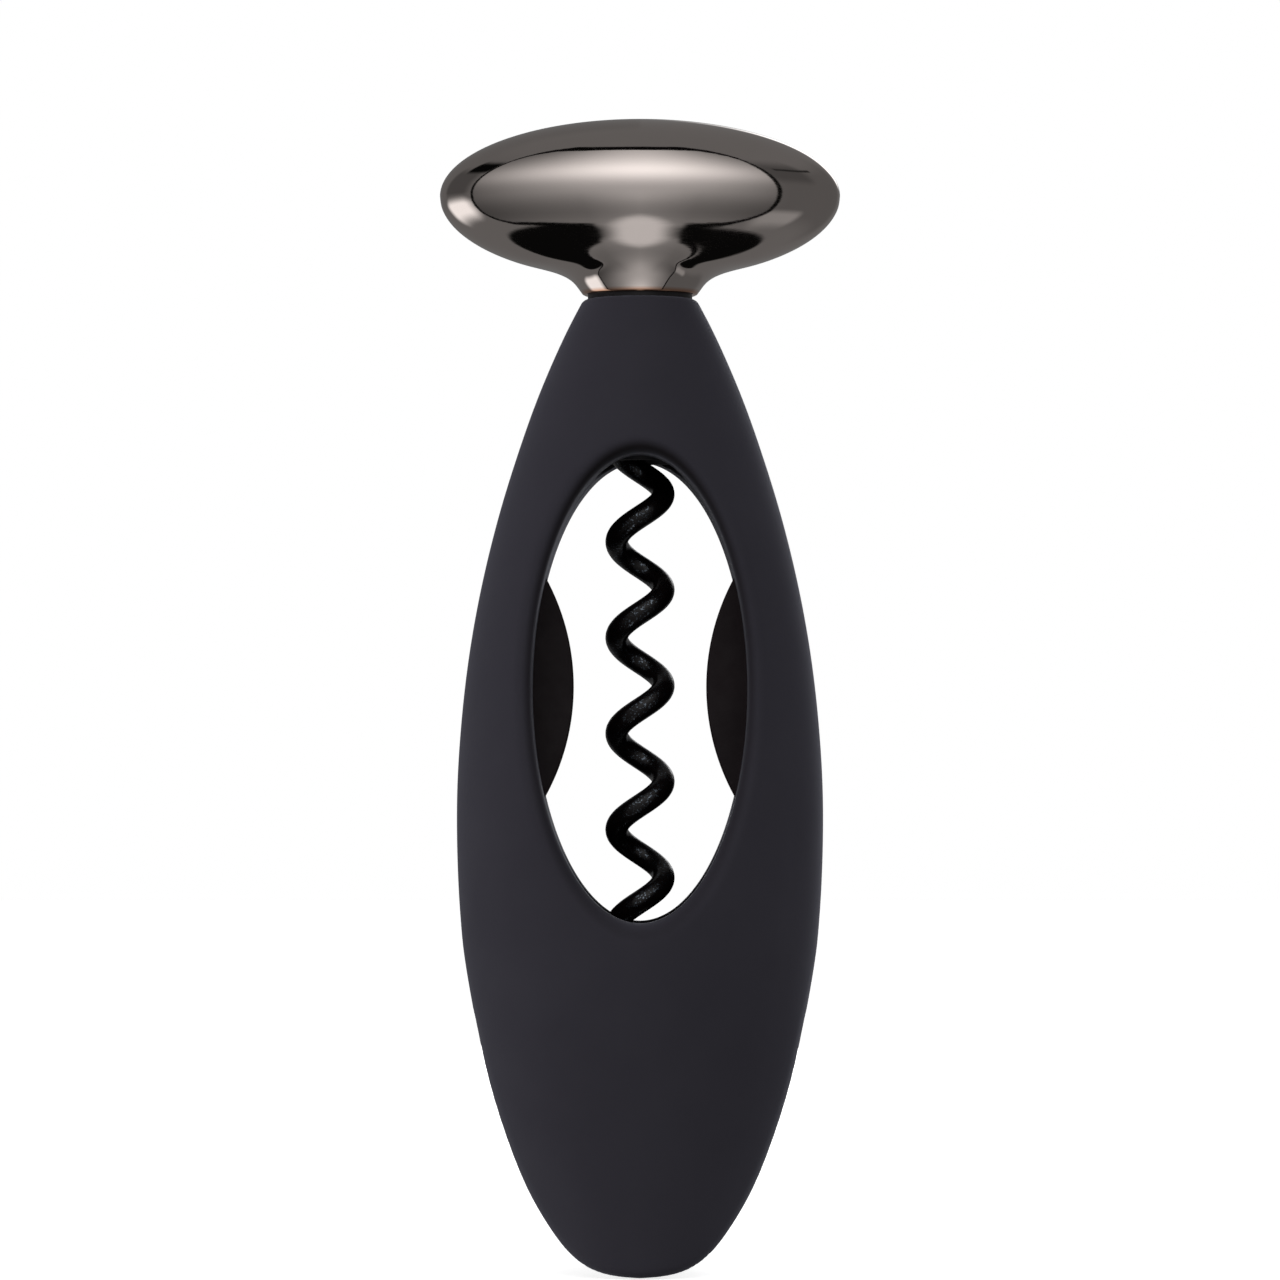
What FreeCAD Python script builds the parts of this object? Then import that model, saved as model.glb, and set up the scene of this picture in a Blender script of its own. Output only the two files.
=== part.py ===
"""Self-pulling corkscrew: egg-shaped two-tongue body, ellipsoid turning handle and right-hand wire worm.

Millimetres. +Z runs up the worm axis, X across the handle, Y front to back (front is -Y).
The origin is on the worm axis at the tips of the two tongues.
"""
import FreeCAD, Part
import math
import os

V = FreeCAD.Vector

# ---- driving dimensions -------------------------------------------------------------------

TOTAL_HEIGHT = 165.0

# outside of the body: height, half width and half depth of each oval section
BODY_SECTIONS = [
    (-2.0, 13.6, 18.5),
    (6.5, 16.6, 18.9),
    (13.3, 18.8, 19.2),
    (20.1, 20.8, 19.5),
    (26.9, 22.5, 19.7),
    (33.8, 23.8, 19.9),
    (40.6, 24.7, 20.0),
    (47.4, 25.45, 20.0),
    (54.2, 25.95, 19.95),
    (61.1, 26.2, 19.8),
    (69.6, 26.15, 19.55),
    (76.4, 25.75, 19.25),
    (83.2, 25.1, 18.85),
    (90.1, 24.15, 18.3),
    (96.9, 22.9, 17.6),
    (103.7, 21.35, 16.75),
    (110.5, 19.5, 15.7),
    (117.3, 17.35, 14.4),
    (124.1, 14.95, 12.85),
    (130.5, 12.3, 11.0),
    (135.5, 9.95, 9.3),
    (139.0, 8.1, 8.1),
]
BODY_TOP = 139.0
BODY_TOP_ROUND = 0.6

# front outline that rounds off the lower end: half width against height
TONGUE_OUTLINE = [
    (0.0, 0.0),
    (7.3, 1.35),
    (9.8, 3.1),
    (12.65, 6.5),
    (14.85, 9.9),
    (16.65, 13.3),
    (19.45, 20.1),
    (21.65, 26.9),
    (23.3, 33.8),
    (24.95, 40.6),
    (26.7, 47.4),
]
TONGUE_CREASE_ROUND = 1.2

WALL = 2.8
SOCKET_R = 15.6
SOCKET_TOP = 38.0
SOCKET_LEAD_R = 16.5
SOCKET_LEAD_H = 4.0
CORK_R = 12.4
SLOT_TOP = 37.0
SLOT_TOP_HALF = 2.6
SLOT_FOOT_HALF = 9.0

WINDOW_HALF_W = 15.35
WINDOW_HALF_H = 33.25
WINDOW_Z = 82.95
WINDOW_ROUND = 1.2
LINER = 2.2
POCKET_LOW = 45.0
POCKET_HIGH = 108.0

FIN_GAP = 19.0
FIN_ARC_R = 32.6
FIN_Z = 83.4
FIN_HALF_H = 18.0
FIN_T = 2.4
FIN_HEAD_IN = 17.95
FIN_HEAD_OUT = 20.2
FIN_HEAD_HALF_H = 19.4
FIN_PLAY = 0.05

BUSH_R = 6.5
BUSH_BORE = 5.2
BUSH_LOW = 115.6
BUSH_FLANGE_R = 8.3
BUSH_FLANGE_Z = 126.0
BUSH_FLANGE_T = 2.0

DOWEL_R = 1.25
DOWEL_HALF_L = 5.0
DOWEL_SPOTS = [(-10.6, 121.0), (10.6, 121.0), (-19.6, 41.5), (19.6, 41.5)]

WASHER_R = 7.5
WASHER_BORE = 5.7
WASHER_T = 0.6

HANDLE_LOW = BODY_TOP + WASHER_T
HANDLE_EQUATOR = 153.9
HANDLE_HALF_W = 28.75
HANDLE_HALF_D = 11.7
HANDLE_RISE = TOTAL_HEIGHT - HANDLE_EQUATOR
HANDLE_DROP = 12.1
NECK_R = 8.1
# flare of the neck into the grip: height and half width of each oval section
HANDLE_SECTIONS = [
    (HANDLE_LOW, 8.1),
    (140.4, 8.7),
    (141.3, 9.4),
    (142.1, 10.4),
    (142.6, 11.4),
    (143.2, 13.2),
    (144.0, 16.4),
    (144.9, 19.2),
]

HUB_R = 6.5
HUB_LOW = 139.9
HUB_TOP = 153.0
HUB_CUP_R = 5.3
HUB_CUP_TOP = 146.0
SCREW_R = 1.5
SCREW_OUT = 6.2
SCREW_Z = 149.5

WIRE_R = 1.635
HELIX_R = 3.335
PITCH = 13.75
HELIX_PHASE_Z = 69.8
TIP_Z = 9.0
TIP_R = 0.22
TAPER_TOP = 18.5
HELIX_TOP = 137.5
SHANK_LOW = 145.0
SHANK_TOP = 152.6


# ---- helpers ------------------------------------------------------------------------------

def spline_oval(z, half_w, half_d):
    """Closed oval as a periodic spline that always starts on the +X side."""
    count = 16
    points = []
    for i in range(count):
        t = 2.0 * math.pi * i / count
        points.append(V(half_w * math.cos(t), half_d * math.sin(t), z))
    curve = Part.BSplineCurve()
    curve.interpolate(Points=points, PeriodicFlag=True)
    return Part.Wire([curve.toShape()])


def loft_ovals(rows):
    """Smooth solid through a stack of oval sections."""
    return Part.makeLoft([spline_oval(z, w, d) for z, w, d in rows], True, False)


def cylinder_z(radius, low, high):
    return Part.makeCylinder(radius, high - low, V(0, 0, low), V(0, 0, 1))


def oval_prism_y(half_w, half_h, z, reach):
    """Upright oval extruded front to back."""
    curve = Part.Ellipse(V(0, 0, z + half_h), V(half_w, 0, z), V(0, 0, z))
    face = Part.Face(Part.Wire([curve.toShape()]))
    face.translate(V(0, -reach, 0))
    return face.extrude(V(0, 2.0 * reach, 0))


def box(x0, x1, y0, y1, z0, z1):
    return Part.makeBox(x1 - x0, y1 - y0, z1 - z0, V(x0, y0, z0))


def largest_solid(shape):
    return max(shape.Solids, key=lambda s: s.Volume)


# ---- body ---------------------------------------------------------------------------------

def tongue_prism():
    """Rounded lower outline, extruded front to back."""
    right = [V(x, 0, z) for x, z in TONGUE_OUTLINE]
    left = [V(-p.x, 0, p.z) for p in reversed(right[1:])]
    curve = Part.BSplineCurve()
    curve.interpolate(left + right)
    top = BODY_TOP + 5.0
    a = left[0]
    b = right[-1]
    lid = Part.makePolygon([b, V(40, 0, top), V(-40, 0, top), a])
    face = Part.Face(Part.Wire([curve.toShape()] + lid.Edges))
    face.translate(V(0, -30, 0))
    return face.extrude(V(0, 60, 0))


def side_slot():
    """Tapered slot with a round top that parts the two tongues on both sides."""
    foot = -3.0
    centre = SLOT_TOP - SLOT_TOP_HALF
    h = SLOT_TOP_HALF
    low_left = V(0, -SLOT_FOOT_HALF, foot)
    low_right = V(0, SLOT_FOOT_HALF, foot)
    left = V(0, -h, centre)
    right = V(0, h, centre)
    arc = Part.Arc(left, V(0, 0, SLOT_TOP), right).toShape()
    lines = [
        Part.makeLine(low_left, left),
        arc,
        Part.makeLine(right, low_right),
        Part.makeLine(low_right, low_left),
    ]
    face = Part.Face(Part.Wire(lines))
    face.translate(V(-40, 0, 0))
    return face.extrude(V(80, 0, 0))


def outer_body():
    """Egg-shaped outside before anything is hollowed out."""
    egg = loft_ovals(BODY_SECTIONS)
    body = largest_solid(egg.common(tongue_prism()))
    body = round_edges(body, TONGUE_CREASE_ROUND, is_tongue_crease)
    return round_edges(body, BODY_TOP_ROUND, is_top_rim)


def neck_socket():
    """Room for the bottle neck, with a flared mouth."""
    bore = cylinder_z(SOCKET_R, -5.0, SOCKET_TOP)
    lead = Part.makeCone(SOCKET_LEAD_R, SOCKET_R, SOCKET_LEAD_H, V(0, 0, 0), V(0, 0, 1))
    mouth = cylinder_z(SOCKET_LEAD_R, -5.0, 0.0)
    return bore.fuse([lead, mouth])


def side_pockets():
    """Hollows between the outer wall and the window liner."""
    rows = []
    for z, w, d in BODY_SECTIONS:
        if POCKET_LOW - 10.0 < z < POCKET_HIGH + 10.0:
            rows.append((z, w - WALL, d - WALL))
    inner = loft_ovals(rows)
    inner = inner.common(box(-40, 40, -40, 40, POCKET_LOW, POCKET_HIGH))
    liner = oval_prism_y(WINDOW_HALF_W + LINER, WINDOW_HALF_H + LINER, WINDOW_Z, 30.0)
    sleeve = cylinder_z(CORK_R + LINER, POCKET_LOW - 1.0, POCKET_HIGH + 1.0)
    return inner.cut(liner).cut(sleeve)


def round_edges(shape, radius, wanted):
    """Round the edges that the test picks out."""
    edges = [e for e in shape.Edges if wanted(e)]
    if not edges:
        return shape
    return largest_solid(shape.makeFillet(radius, edges))


def is_tongue_crease(edge):
    """The curves where the rounded lower outline meets the egg."""
    b = edge.BoundBox
    return b.ZMax < 48.0 and b.ZLength > 5.0


def is_top_rim(edge):
    return edge.BoundBox.ZMin > BODY_TOP - 0.01


def is_window_rim(edge):
    """The long closed-up curves where the window meets the outside."""
    b = edge.BoundBox
    tall = b.ZLength > 20.0 or b.XLength > 15.0
    inside = b.ZMin > WINDOW_Z - WINDOW_HALF_H - 1.0 and b.ZMax < WINDOW_Z + WINDOW_HALF_H + 1.0
    mid = edge.valueAt((edge.FirstParameter + edge.LastParameter) / 2.0)
    on_wall = ((mid.x / WINDOW_HALF_W) ** 2 + ((mid.z - WINDOW_Z) / WINDOW_HALF_H) ** 2)
    return tall and inside and abs(on_wall - 1.0) < 0.02 and abs(mid.y) > 9.0


def hollow_body():
    """The whole body as one solid, before it is parted into its two shells."""
    body = outer_body()
    window = oval_prism_y(WINDOW_HALF_W, WINDOW_HALF_H, WINDOW_Z, 30.0)
    body = largest_solid(body.cut(window))
    body = round_edges(body, WINDOW_ROUND, is_window_rim)
    cork_way = cylinder_z(CORK_R, SOCKET_TOP - 1.0, WINDOW_Z + 18.0)
    bush_seat = cylinder_z(BUSH_R, BUSH_LOW - 8.0, BODY_TOP + 1.0)
    groove = cylinder_z(BUSH_FLANGE_R, BUSH_FLANGE_Z, BUSH_FLANGE_Z + BUSH_FLANGE_T)
    cuts = [neck_socket(), cork_way, bush_seat, groove, side_slot(), side_pockets()]
    cuts.append(fin_room(1.0))
    cuts.append(fin_room(-1.0))
    cuts.extend(dowels())
    for tool in cuts:
        body = body.cut(tool)
    return largest_solid(body)


def shells():
    """Front and back shell, parted on the plane through the worm axis."""
    body = hollow_body()
    front = body.common(box(-60, 60, -60, 0, -10, 200))
    back = body.common(box(-60, 60, 0, 60, -10, 200))
    return largest_solid(front), largest_solid(back)


# ---- cork grips, bush and dowels ----------------------------------------------------------

def fin_outline(side, play):
    """Face of one fin in the parting plane; play widens it for its seat."""
    centre_x = FIN_GAP / 2.0 + FIN_ARC_R
    h = FIN_HALF_H + play
    x_end = centre_x - math.sqrt(FIN_ARC_R ** 2 - FIN_HALF_H ** 2)
    head_h = FIN_HEAD_HALF_H + play
    x_in = FIN_HEAD_IN - play
    x_out = FIN_HEAD_OUT + play
    low = V(side * x_end, 0, FIN_Z - h)
    high = V(side * x_end, 0, FIN_Z + h)
    arc = Part.Arc(low, V(side * FIN_GAP / 2.0, 0, FIN_Z), high).toShape()
    rest = Part.makePolygon([
        high,
        V(side * x_in, 0, FIN_Z + h),
        V(side * x_in, 0, FIN_Z + head_h),
        V(side * x_out, 0, FIN_Z + head_h),
        V(side * x_out, 0, FIN_Z - head_h),
        V(side * x_in, 0, FIN_Z - head_h),
        V(side * x_in, 0, FIN_Z - h),
        low,
    ])
    return Part.Face(Part.Wire([arc] + rest.Edges))


def fin_plate(side, play):
    half = FIN_T / 2.0 + play
    face = fin_outline(side, play)
    face.translate(V(0, -half, 0))
    return face.extrude(V(0, 2.0 * half, 0))


def cork_grip(side):
    """Flat fin whose round edge bites into the side of the drawn cork."""
    return fin_plate(side, 0.0)


def fin_room(side):
    """Seat of a fin in the window liner."""
    return fin_plate(side, FIN_PLAY)


def guide_bush():
    """Slippery bush that guides the worm through the top of the body."""
    sleeve = cylinder_z(BUSH_R, BUSH_LOW, BODY_TOP)
    flange = cylinder_z(BUSH_FLANGE_R, BUSH_FLANGE_Z, BUSH_FLANGE_Z + BUSH_FLANGE_T)
    bore = cylinder_z(BUSH_BORE, BUSH_LOW - 1.0, BODY_TOP + 1.0)
    lead = Part.makeCone(BUSH_BORE + 0.8, BUSH_BORE, 0.8, V(0, 0, BUSH_LOW), V(0, 0, 1))
    return sleeve.fuse(flange).cut(bore).cut(lead)


def dowels():
    """Four dowels across the parting plane."""
    pins = []
    for x, z in DOWEL_SPOTS:
        start = V(x, -DOWEL_HALF_L, z)
        pins.append(Part.makeCylinder(DOWEL_R, 2.0 * DOWEL_HALF_L, start, V(0, 1, 0)))
    return pins


# ---- turning handle -----------------------------------------------------------------------

def thrust_washer():
    """Thin ring between the handle and the top of the body."""
    ring = cylinder_z(WASHER_R, BODY_TOP, HANDLE_LOW)
    return ring.cut(cylinder_z(WASHER_BORE, BODY_TOP - 1.0, HANDLE_LOW + 1.0))


def handle_depth(z):
    """Half depth of the grip and neck at height z, below the widest level."""
    t = (HANDLE_EQUATOR - z) / (HANDLE_EQUATOR - HANDLE_LOW)
    return NECK_R + (HANDLE_HALF_D - NECK_R) * (1.0 - t * t) ** 0.75


def handle_casting():
    """Ellipsoid grip that flares down into a round neck, bored for the hub."""
    rows = [(z, w, handle_depth(z)) for z, w in HANDLE_SECTIONS]
    for z in (146.2, 147.7, 149.3, 150.9, 152.4, HANDLE_EQUATOR):
        across = math.sqrt(1.0 - ((HANDLE_EQUATOR - z) / HANDLE_DROP) ** 2)
        rows.append((z, HANDLE_HALF_W * across, handle_depth(z)))
    for degrees in (14, 28, 42, 54, 64, 72, 78, 82.5, 86):
        t = math.radians(degrees)
        z = HANDLE_EQUATOR + HANDLE_RISE * math.sin(t) / math.sin(math.radians(86))
        rows.append((z, HANDLE_HALF_W * math.cos(t), HANDLE_HALF_D * math.cos(t)))
    grip = loft_ovals(rows)
    return largest_solid(grip.cut(cylinder_z(HUB_R, HANDLE_LOW - 1.0, HUB_TOP)))


def worm_hub():
    """Steel hub that holds the shank of the worm inside the handle."""
    hub = cylinder_z(HUB_R, HUB_LOW, HUB_TOP)
    cup = cylinder_z(HUB_CUP_R, HUB_LOW - 1.0, HUB_CUP_TOP)
    shank = cylinder_z(WIRE_R, HUB_CUP_TOP - 1.0, SHANK_TOP)
    return hub.cut(cup).cut(shank).cut(hub_screw())


def hub_screw():
    """Grub screw that clamps the shank of the worm in the hub."""
    length = SCREW_OUT - WIRE_R
    return Part.makeCylinder(SCREW_R, length, V(0, -SCREW_OUT, SCREW_Z), V(0, 1, 0))


def worm_point(z):
    """Centre of the wire at height z: helix below, running into the axis at the shank."""
    angle = 2.0 * math.pi * (z - HELIX_PHASE_Z) / PITCH
    radius = HELIX_R
    if z > HELIX_TOP:
        t = min((z - HELIX_TOP) / (SHANK_LOW - HELIX_TOP), 1.0)
        radius = HELIX_R * (1.0 - t * t * (3.0 - 2.0 * t))
    return V(radius * math.cos(angle), radius * math.sin(angle), z), angle


def worm_run(z):
    """Direction of the wire at height z."""
    step = 0.002
    before, _ = worm_point(z - step)
    after, _ = worm_point(z + step)
    return (after - before).normalize()


def wire_ring(z, radius):
    """Circle around the wire at height z, square to its run and starting on its outer side."""
    centre, angle = worm_point(z)
    run = worm_run(z)
    out = V(math.cos(angle), math.sin(angle), 0)
    side = run.cross(out).normalize()
    turn = FreeCAD.Rotation(side.cross(run), side, run, "ZYX")
    ring = Part.Wire([Part.makeCircle(radius)])
    ring.Placement = FreeCAD.Placement(centre, turn)
    return ring


def helix_line(low, high):
    """Centre line of the coiled part between two heights."""
    line = Part.makeHelix(PITCH, high - low, HELIX_R)
    _, angle = worm_point(low)
    line.rotate(V(0, 0, 0), V(0, 0, 1), math.degrees(angle))
    line.translate(V(0, 0, low))
    return line


def wire_tip():
    """Skin of the ground point: the wire grows evenly from the tip to full thickness."""
    sweep = Part.BRepOffsetAPI.MakePipeShell(helix_line(TIP_Z, TAPER_TOP))
    sweep.setFrenetMode(True)
    sweep.add(wire_ring(TIP_Z, TIP_R), False, False)
    sweep.add(wire_ring(TAPER_TOP, WIRE_R), False, False)
    sweep.build()
    return sweep.shape()


def wire_helix():
    """Skin of the even part of the worm."""
    return helix_line(TAPER_TOP, HELIX_TOP).makePipeShell([wire_ring(TAPER_TOP, WIRE_R)], False, True)


def wire_bend(ring):
    """Skin of the run from the coil into the axis, starting on a rim of the coil."""
    count = 24
    rise = SHANK_LOW - HELIX_TOP
    curve = Part.BSplineCurve()
    curve.interpolate(Points=[worm_point(HELIX_TOP + rise * i / count)[0] for i in range(count + 1)])
    return Part.Wire([curve.toShape()]).makePipeShell([ring], False, True)


def top_ring(skin):
    """Upper rim of a stretch of wire."""
    rings = [e for e in skin.Edges if e.isClosed()]
    return max(rings, key=lambda e: e.CenterOfMass.z)


def worm():
    """Right-hand wire helix with a ground point and a straight shank."""
    tip = wire_tip()
    helix = wire_helix()
    bend = wire_bend(Part.Wire([top_ring(helix)]))
    rise = V(0, 0, SHANK_TOP - SHANK_LOW)
    shank = top_ring(bend).extrude(rise)
    top = top_ring(bend).copy()
    top.translate(rise)
    faces = tip.Faces + helix.Faces + bend.Faces + shank.Faces
    faces.append(Part.Face(wire_ring(TIP_Z, TIP_R)))
    faces.append(Part.Face(Part.Wire([top])))
    skin = Part.Compound(faces)
    skin.sewShape(0.01)
    wire = Part.Solid(skin.Shells[0])
    if wire.Volume < 0:
        wire.reverse()
    return wire


# ---- write --------------------------------------------------------------------------------

def main():
    front, back = shells()
    parts = {
        "front_shell": front,
        "back_shell": back,
        "guide_bush": guide_bush(),
        "cork_grip_left": cork_grip(-1.0),
        "cork_grip_right": cork_grip(1.0),
        "shell_dowels": Part.makeCompound(dowels()),
        "thrust_washer": thrust_washer(),
        "handle_casting": handle_casting(),
        "worm_hub": worm_hub(),
        "hub_screw": hub_screw(),
        "worm": worm(),
    }
    os.makedirs("parts", exist_ok=True)
    for name, shape in parts.items():
        shape.exportStep("parts/" + name + ".step")
        print(name, len(shape.Solids), shape.isValid(), round(shape.Volume, 1))


main()
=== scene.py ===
import math

import bmesh
import bpy
import numpy as np
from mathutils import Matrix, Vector


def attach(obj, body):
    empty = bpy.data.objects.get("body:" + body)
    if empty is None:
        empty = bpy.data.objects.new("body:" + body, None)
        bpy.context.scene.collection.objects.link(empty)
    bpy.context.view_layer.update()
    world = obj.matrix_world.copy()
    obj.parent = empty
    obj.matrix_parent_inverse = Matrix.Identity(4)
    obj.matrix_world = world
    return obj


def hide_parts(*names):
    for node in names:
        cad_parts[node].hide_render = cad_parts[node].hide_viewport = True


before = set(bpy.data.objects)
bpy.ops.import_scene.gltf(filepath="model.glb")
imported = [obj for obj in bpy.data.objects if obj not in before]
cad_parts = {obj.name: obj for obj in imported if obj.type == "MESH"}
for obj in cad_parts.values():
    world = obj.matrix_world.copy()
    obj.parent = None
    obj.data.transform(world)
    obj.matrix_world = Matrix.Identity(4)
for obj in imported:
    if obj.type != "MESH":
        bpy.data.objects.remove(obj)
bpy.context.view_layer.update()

MM = 0.001

# ---- dimensions in millimetres ------------------------------------------------------------

# (height, half width, half depth) of the body's oval sections
BODY_SECTIONS = [
    (-2.0, 13.6, 18.5), (6.5, 16.6, 18.9), (13.3, 18.8, 19.2), (20.1, 20.8, 19.5),
    (26.9, 22.5, 19.7), (33.8, 23.8, 19.9), (40.6, 24.7, 20.0), (47.4, 25.45, 20.0),
    (54.2, 25.95, 19.95), (61.1, 26.2, 19.8), (69.6, 26.15, 19.55), (76.4, 25.75, 19.25),
    (83.2, 25.1, 18.85), (90.1, 24.15, 18.3), (96.9, 22.9, 17.6), (103.7, 21.35, 16.75),
    (110.5, 19.5, 15.7), (117.3, 17.35, 14.4), (124.1, 14.95, 12.85), (130.5, 12.3, 11.0),
    (135.5, 9.95, 9.3), (139.0, 8.1, 8.1),
]
# (half width, height) of the tongues' outline
TONGUE_OUTLINE = [
    (0.0, 0.0), (7.3, 1.35), (9.8, 3.1), (12.65, 6.5), (14.85, 9.9), (16.65, 13.3),
    (19.45, 20.1), (21.65, 26.9), (23.3, 33.8), (24.95, 40.6), (26.7, 47.4), (30.5, 62.0),
]
BODY_TOP = 139.0
SOCKET_R, SOCKET_TOP = 15.6, 38.0
CORK_R, CORK_TOP = 12.4, 100.95
BUSH_HOLE_R, BUSH_HOLE_LOW = 6.5, 107.6
SLOT_ROUND_Z, SLOT_HALF, SLOT_GROWTH, SLOT_LEAN = 34.4, 2.6, 6.4 / 37.4, 0.986
WINDOW_HALF_W, WINDOW_HALF_H, WINDOW_Z = 15.35, 33.25, 82.95
WINDOW_ROUND, TONGUE_ROUND, TOP_ROUND, BORE_ROUND, SLOT_EDGE_ROUND = 2.7, 1.2, 0.6, 0.4, 0.7
MOUTH_FLARE, MOUTH_H = 0.9, 4.0
SEAM_HALF_W, SEAM_DEPTH = 0.3, 0.16
# reach, depth and fade of the painted shade inside the body and on the window's walls
SHADE_WINDOW_REACH, SHADE_DEPTH, SHADE_FADE = 3.5, 1.6, 0.5

FIN_GAP, FIN_ARC_R, FIN_Z, FIN_HALF_H, FIN_T = 19.0, 32.6, 83.4, 18.0, 2.4
FIN_HEAD_IN, FIN_HEAD_OUT, FIN_HEAD_HALF_H = 17.95, 20.2, 19.4
FIN_EDGE = 0.3

HANDLE_LOW, HANDLE_EQUATOR = 139.6, 153.9
HANDLE_HALF_W, HANDLE_HALF_D = 28.75, 11.7
HANDLE_RISE, HANDLE_DROP, NECK_R = 11.1, 12.1, 8.1
# (height, half width) of the handle's neck
NECK_SECTIONS = [
    (139.6, 8.1), (140.4, 8.7), (141.3, 9.4), (142.1, 10.4), (142.6, 11.4), (143.2, 13.2),
    (144.0, 16.4), (144.9, 19.2),
]
GRIP_LEVELS = (146.2, 147.7, 149.3, 150.9, 152.4, HANDLE_EQUATOR)
WAIST_Z, WAIST_HALF_D = 142.0, 7.92
NECK_EDGE = 0.15
HUB_R, HUB_TOP, HUB_EDGE = 6.5, 153.0, 0.2
HUB_BORE_LEVELS = (146.0, 140.0)

WIRE_R, HELIX_R, PITCH, PHASE_Z = 1.635, 3.335, 13.75, 69.8
TIP_Z, TIP_R, TAPER_TOP = 9.0, 0.22, 18.5
HELIX_TOP, SHANK_LOW, SHANK_TOP, SHANK_EDGE = 137.5, 145.0, 152.6, 0.3

# ---- camera and floor, in metres and degrees ----------------------------------------------

VIEW_PLACE, VIEW_AIM, VIEW_ANGLE = (0, -0.9, 0.0607), (0, 0, 0.0901), 11.64
FLOOR_HALF, FLOOR_DROP = 6, 0.0002


# ---- small mathematical tools -------------------------------------------------------------

def spline_through(knots, values, at):
    """Natural cubic spline through (knots, values), read at the places in at."""
    x = np.asarray(knots, float)
    y = np.asarray(values, float)
    h = np.diff(x)
    n = len(x)
    matrix = np.eye(n)
    bends = np.zeros(n)
    for i in range(1, n - 1):
        matrix[i, i - 1:i + 2] = h[i - 1], 2 * (h[i - 1] + h[i]), h[i]
        bends[i] = 6 * ((y[i + 1] - y[i]) / h[i] - (y[i] - y[i - 1]) / h[i - 1])
    second = np.linalg.solve(matrix, bends)
    k = np.clip(np.searchsorted(x, at) - 1, 0, n - 2)
    a = (x[k + 1] - at) / h[k]
    b = (at - x[k]) / h[k]
    bend = ((a ** 3 - a) * second[k] + (b ** 3 - b) * second[k + 1]) * h[k] ** 2 / 6
    return a * y[k] + b * y[k + 1] + bend


def curve_through(points, count):
    """Smooth plane curve through points, with count samples."""
    p = np.asarray(points, float)
    along = np.concatenate([[0], np.cumsum(np.hypot(*np.diff(p, axis=0).T))])
    at = np.linspace(0, along[-1], count)
    return np.stack([spline_through(along, p[:, i], at) for i in (0, 1)], 1)


def round_max(a, b, r):
    """Intersection of two solids given by their distances, with a rounded edge."""
    u = np.maximum(r + a, 0)
    v = np.maximum(r + b, 0)
    return np.minimum(-r, np.maximum(a, b)) + np.sqrt(u * u + v * v)


def oval_distance(u, v, half_u, half_v):
    """Distance outside an oval, exact near its outline."""
    k0 = np.sqrt((u / half_u) ** 2 + (v / half_v) ** 2)
    k1 = np.sqrt((u / half_u ** 2) ** 2 + (v / half_v ** 2) ** 2)
    return k0 * (k0 - 1) / np.maximum(k1, 1e-6)


# ---- the body's shape as a distance field -------------------------------------------------

Z_TABLE = np.linspace(-4, 142, 2921)
SECTION = np.array(BODY_SECTIONS)
HALF_W = spline_through(SECTION[:, 0], SECTION[:, 1], Z_TABLE)
HALF_D = np.minimum(spline_through(SECTION[:, 0], SECTION[:, 2], Z_TABLE), 20.0)
LEAN = 1 / np.sqrt(1 + np.gradient(HALF_W, Z_TABLE) ** 2)

TONGUE_STEP = 0.2
TONGUE_X = np.arange(0, 33, TONGUE_STEP)
TONGUE_Z = np.arange(-3, 62, TONGUE_STEP)


def tongue_table():
    """Signed distance to the outline of the tongues, on a fine lattice of x and z."""
    line = curve_through(TONGUE_OUTLINE, 90)
    a = line[:-1]
    d = line[1:] - a
    gx, gz = np.meshgrid(TONGUE_X, TONGUE_Z, indexing="ij")
    best = np.full(gx.shape, 1e9)
    for (ax, az), (dx, dz) in zip(a, d):
        t = np.clip(((gx - ax) * dx + (gz - az) * dz) / (dx * dx + dz * dz), 0, 1)
        best = np.minimum(best, np.hypot(gx - ax - t * dx, gz - az - t * dz))
    inside = gx < np.interp(gz, line[:, 1], line[:, 0], left=-1)
    return np.where(inside, -best, best)


TONGUE = tongue_table()


def tongue_distance(x, z):
    """Distance outside the tongues' outline, read from the lattice."""
    i = np.clip(np.abs(x) / TONGUE_STEP, 0, len(TONGUE_X) - 1.001)
    k = np.clip((z - TONGUE_Z[0]) / TONGUE_STEP, 0, len(TONGUE_Z) - 1.001)
    i0 = i.astype(int)
    k0 = k.astype(int)
    across = i - i0
    up = k - k0
    low = TONGUE[i0, k0] * (1 - across) + TONGUE[i0 + 1, k0] * across
    high = TONGUE[i0, k0 + 1] * (1 - across) + TONGUE[i0 + 1, k0 + 1] * across
    return low * (1 - up) + high * up


def window_distance(x, z):
    return oval_distance(x, z - WINDOW_Z, WINDOW_HALF_W, WINDOW_HALF_H)


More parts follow.
